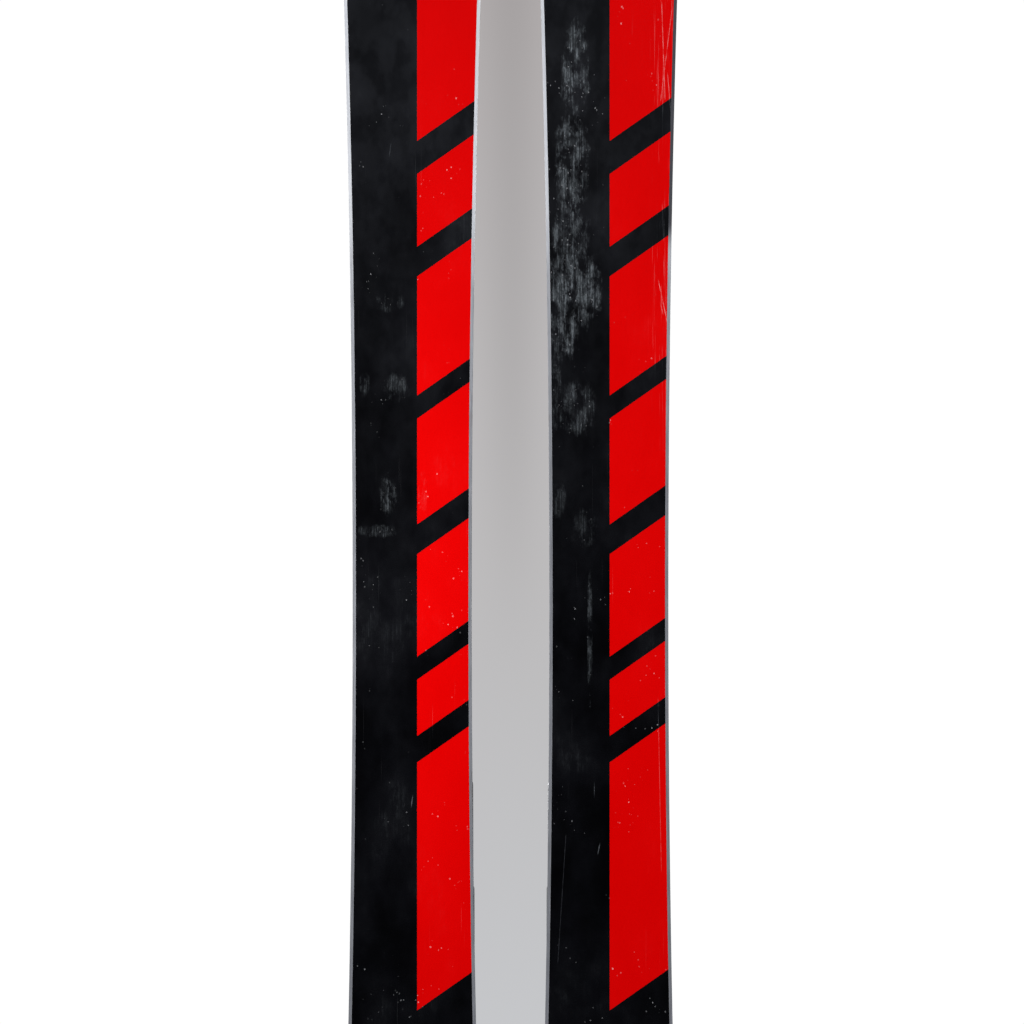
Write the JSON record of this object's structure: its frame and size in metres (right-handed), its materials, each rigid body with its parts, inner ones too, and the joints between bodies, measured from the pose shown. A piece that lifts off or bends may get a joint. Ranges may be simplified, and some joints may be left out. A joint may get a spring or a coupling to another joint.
{
  "type": "alpine skis with bindings",
  "caption": "Pair of shaped alpine skis standing upright, with steel edges, inlaid black and red bases and step-in release bindings with brakes.",
  "frame": {"origin": "centre of the pair's bounding box at the level of the tails", "axes": "+Z along the skis from the tails to the tips, -Y out of the running bases, +X from the left ski to the right ski as the bases are faced"},
  "size_m": [0.237, 0.1252, 1.56],
  "materials": {
    "base_black": "structure-ground and waxed sintered base, scuffed",
    "base_red": "die-cut coloured base sheet",
    "edge_steel": "ground steel with small nicks",
    "glass_laminate": "glass fibre and resin",
    "core_wood": "vertical laminated ash and poplar",
    "sidewall": "milled ABS",
    "alloy_laminate": "rolled alloy sheet",
    "top_film": "printed top film",
    "guard": "moulded",
    "rail_plastic": "moulded, ribbed",
    "screw_steel": "zinc plated",
    "spring_steel": "oiled spring wire",
    "binding_plastic": "glass-filled moulding, fine texture",
    "glide_alloy": "brushed, worn by soles",
    "lever_red": "moulded",
    "brake_plastic": "moulded, ribbed tread",
    "brake_wire": "bent steel rod with a moulded foot"
  },
  "bodies": {
    "left_ski": {"left_base": "base_black", "left_base_inlay": "base_red", "left_steel_edges": "edge_steel", "left_lower_laminate": "glass_laminate", "left_wood_core": "core_wood", "left_sidewalls": "sidewall", "left_upper_laminate": "alloy_laminate", "left_top_sheet": "top_film", "left_tip_and_tail_guards": "guard", "left_binding_rails": "rail_plastic", "left_rail_screws": "screw_steel", "left_toe_base": "binding_plastic", "left_toe_housing": "binding_plastic", "left_toe_wing_pins": "screw_steel", "left_toe_spring": "spring_steel"},
    "left_wing_inner": {"left_toe_wing_inner": "binding_plastic"},
    "left_wing_outer": {"left_toe_wing_outer": "binding_plastic"},
    "left_toe_screw": {"left_toe_tension_screw": "screw_steel"},
    "left_glide": {"left_glide_plate": "glide_alloy"},
    "left_heel_carriage": {"left_heel_base": "binding_plastic", "left_heel_pins": "screw_steel", "left_brake_base": "brake_plastic"},
    "left_length_screw_body": {"left_length_screw": "screw_steel"},
    "left_heel_cup": {"left_heel_housing": "binding_plastic", "left_heel_spring": "spring_steel"},
    "left_heel_screw": {"left_heel_tension_screw": "screw_steel"},
    "left_lever": {"left_heel_lever": "lever_red"},
    "left_pedal": {"left_brake_pedal": "brake_plastic"},
    "left_arm_inner": {"left_brake_arm_inner": "brake_wire"},
    "left_arm_outer": {"left_brake_arm_outer": "brake_wire"},
    "right_ski": {"right_base": "base_black", "right_base_inlay": "base_red", "right_steel_edges": "edge_steel", "right_lower_laminate": "glass_laminate", "right_wood_core": "core_wood", "right_sidewalls": "sidewall", "right_upper_laminate": "alloy_laminate", "right_top_sheet": "top_film", "right_tip_and_tail_guards": "guard", "right_binding_rails": "rail_plastic", "right_rail_screws": "screw_steel", "right_toe_base": "binding_plastic", "right_toe_housing": "binding_plastic", "right_toe_wing_pins": "screw_steel", "right_toe_spring": "spring_steel"},
    "right_wing_inner": {"right_toe_wing_inner": "binding_plastic"},
    "right_wing_outer": {"right_toe_wing_outer": "binding_plastic"},
    "right_toe_screw": {"right_toe_tension_screw": "screw_steel"},
    "right_glide": {"right_glide_plate": "glide_alloy"},
    "right_heel_carriage": {"right_heel_base": "binding_plastic", "right_heel_pins": "screw_steel", "right_brake_base": "brake_plastic"},
    "right_length_screw_body": {"right_length_screw": "screw_steel"},
    "right_heel_cup": {"right_heel_housing": "binding_plastic", "right_heel_spring": "spring_steel"},
    "right_heel_screw": {"right_heel_tension_screw": "screw_steel"},
    "right_lever": {"right_heel_lever": "lever_red"},
    "right_pedal": {"right_brake_pedal": "brake_plastic"},
    "right_arm_inner": {"right_brake_arm_inner": "brake_wire"},
    "right_arm_outer": {"right_brake_arm_outer": "brake_wire"}
  },
  "joints": [
    {"name": "left_toe_wing_inner_release", "type": "hinge", "parent": "left_ski", "child": "left_wing_inner", "pos_m": [-0.0445, 0.0019, 0.87], "axis": [0, -1, 0], "range_deg": [0, 30], "stiffness_Nm_per_rad": 1.5},
    {"name": "left_toe_wing_outer_release", "type": "hinge", "parent": "left_ski", "child": "left_wing_outer", "pos_m": [-0.0745, 0.0019, 0.87], "axis": [0, 1, 0], "range_deg": [0, 30], "stiffness_Nm_per_rad": 1.5},
    {"name": "left_toe_release_setting", "type": "hinge", "parent": "left_ski", "child": "left_toe_screw", "pos_m": [-0.0595, -0.0081, 0.926], "axis": [0, 0, 1], "range_deg": [-720, 720]},
    {"name": "left_glide_plate_slide", "type": "slide", "parent": "left_ski", "child": "left_glide", "axis": [1, 0, 0], "range_m": [-0.005, 0.005], "stiffness_N_per_m": 400},
    {"name": "left_heel_length_slide", "type": "slide", "parent": "left_ski", "child": "left_heel_carriage", "axis": [0, 0, 1], "range_m": [-0.02, 0.02]},
    {"name": "left_length_screw_turn", "type": "hinge", "parent": "left_heel_carriage", "child": "left_length_screw_body", "pos_m": [-0.0595, -0.0241, 0.436], "axis": [0, 0, 1], "range_deg": [-1800, 1800]},
    {"name": "left_heel_cup_open", "type": "hinge", "parent": "left_heel_carriage", "child": "left_heel_cup", "pos_m": [-0.0595, -0.0031, 0.485], "axis": [-1, 0, 0], "range_deg": [0, 45]},
    {"name": "left_heel_release_setting", "type": "hinge", "parent": "left_heel_cup", "child": "left_heel_screw", "pos_m": [-0.0595, 0.0149, 0.45382], "axis": [0, 0.5, -0.866], "range_deg": [-720, 720]},
    {"name": "left_heel_lever_press", "type": "hinge", "parent": "left_heel_cup", "child": "left_lever", "pos_m": [-0.0595, 0.0229, 0.465], "axis": [-1, 0, 0], "range_deg": [0, 15]},
    {"name": "left_brake_pedal_lift", "type": "hinge", "parent": "left_heel_carriage", "child": "left_pedal", "pos_m": [-0.0595, -0.0176, 0.582], "axis": [-1, 0, 0], "range_deg": [0, 70]},
    {"name": "left_brake_arm_inner_drop", "type": "hinge", "parent": "left_heel_carriage", "child": "left_arm_inner", "pos_m": [-0.0253, -0.0161, 0.565], "axis": [-0.9755, -0.2198, 0], "range_deg": [0, 80]},
    {"name": "left_brake_arm_outer_drop", "type": "hinge", "parent": "left_heel_carriage", "child": "left_arm_outer", "pos_m": [-0.0937, -0.0161, 0.565], "axis": [-0.9755, 0.2198, 0], "range_deg": [0, 80]},
    {"name": "right_toe_wing_inner_release", "type": "hinge", "parent": "right_ski", "child": "right_wing_inner", "pos_m": [0.0445, 0.0019, 0.87], "axis": [0, 1, 0], "range_deg": [0, 30], "stiffness_Nm_per_rad": 1.5},
    {"name": "right_toe_wing_outer_release", "type": "hinge", "parent": "right_ski", "child": "right_wing_outer", "pos_m": [0.0745, 0.0019, 0.87], "axis": [0, -1, 0], "range_deg": [0, 30], "stiffness_Nm_per_rad": 1.5},
    {"name": "right_toe_release_setting", "type": "hinge", "parent": "right_ski", "child": "right_toe_screw", "pos_m": [0.0595, -0.0081, 0.926], "axis": [0, 0, 1], "range_deg": [-720, 720]},
    {"name": "right_glide_plate_slide", "type": "slide", "parent": "right_ski", "child": "right_glide", "axis": [1, 0, 0], "range_m": [-0.005, 0.005], "stiffness_N_per_m": 400},
    {"name": "right_heel_length_slide", "type": "slide", "parent": "right_ski", "child": "right_heel_carriage", "axis": [0, 0, 1], "range_m": [-0.02, 0.02]},
    {"name": "right_length_screw_turn", "type": "hinge", "parent": "right_heel_carriage", "child": "right_length_screw_body", "pos_m": [0.0595, -0.0241, 0.436], "axis": [0, 0, 1], "range_deg": [-1800, 1800]},
    {"name": "right_heel_cup_open", "type": "hinge", "parent": "right_heel_carriage", "child": "right_heel_cup", "pos_m": [0.0595, -0.0031, 0.485], "axis": [-1, 0, 0], "range_deg": [0, 45]},
    {"name": "right_heel_release_setting", "type": "hinge", "parent": "right_heel_cup", "child": "right_heel_screw", "pos_m": [0.0595, 0.0149, 0.45382], "axis": [0, 0.5, -0.866], "range_deg": [-720, 720]},
    {"name": "right_heel_lever_press", "type": "hinge", "parent": "right_heel_cup", "child": "right_lever", "pos_m": [0.0595, 0.0229, 0.465], "axis": [-1, 0, 0], "range_deg": [0, 15]},
    {"name": "right_brake_pedal_lift", "type": "hinge", "parent": "right_heel_carriage", "child": "right_pedal", "pos_m": [0.0595, -0.0176, 0.582], "axis": [-1, 0, 0], "range_deg": [0, 70]},
    {"name": "right_brake_arm_inner_drop", "type": "hinge", "parent": "right_heel_carriage", "child": "right_arm_inner", "pos_m": [0.0253, -0.0161, 0.565], "axis": [-0.9755, 0.2198, 0], "range_deg": [0, 80]},
    {"name": "right_brake_arm_outer_drop", "type": "hinge", "parent": "right_heel_carriage", "child": "right_arm_outer", "pos_m": [0.0937, -0.0161, 0.565], "axis": [-0.9755, -0.2198, 0], "range_deg": [0, 80]},
    {"name": "pair_spacing", "type": "slide", "parent": "left_ski", "child": "right_ski", "axis": [1, 0, 0], "range_m": [0, 0.2]}
  ],
  "couplings": [
    {"joint": "left_length_screw_turn", "follows": "left_heel_length_slide", "rad_per_m": 1570.8},
    {"joint": "left_heel_lever_press", "follows": "left_heel_cup_open", "ratio": 0.33333},
    {"joint": "left_brake_arm_inner_drop", "follows": "left_brake_pedal_lift", "ratio": 1.1429},
    {"joint": "left_brake_arm_outer_drop", "follows": "left_brake_pedal_lift", "ratio": 1.1429},
    {"joint": "right_length_screw_turn", "follows": "right_heel_length_slide", "rad_per_m": 1570.8},
    {"joint": "right_heel_lever_press", "follows": "right_heel_cup_open", "ratio": 0.33333},
    {"joint": "right_brake_arm_inner_drop", "follows": "right_brake_pedal_lift", "ratio": 1.1429},
    {"joint": "right_brake_arm_outer_drop", "follows": "right_brake_pedal_lift", "ratio": 1.1429}
  ]
}
